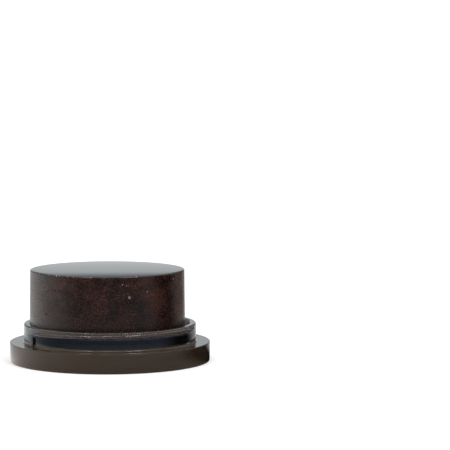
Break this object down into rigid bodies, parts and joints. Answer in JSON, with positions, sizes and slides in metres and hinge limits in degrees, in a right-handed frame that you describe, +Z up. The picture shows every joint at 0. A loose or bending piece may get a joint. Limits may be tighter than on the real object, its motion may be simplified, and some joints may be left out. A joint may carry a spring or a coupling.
{
  "type": "rosin cake in case base",
  "caption": "Round cake of dark amber rosin for bowed strings, standing in the open lower half of a smoky twist-lock case with a threaded neck and a wide grip ring.",
  "frame": {"origin": "centre of the foot, on the plane the case rests on", "axes": "+Z up along the case's axis, -Y towards the front, where the thread's low end and a stop rib lie a little to the left"},
  "size_m": [0.0654, 0.0654, 0.0301],
  "materials": {
    "rosin": "cast dark amber rosin, glossy, with trapped bubbles",
    "smoke_plastic": "glossy smoke-brown translucent polystyrene",
    "pad_foam": "closed-cell foam with adhesive on both faces"
  },
  "bodies": {
    "root": {"rosin_cake": "rosin", "adhesive_pad": "pad_foam", "threaded_cup": "smoke_plastic", "grip_base": "smoke_plastic", "base_plate": "smoke_plastic"}
  },
  "joints": []
}
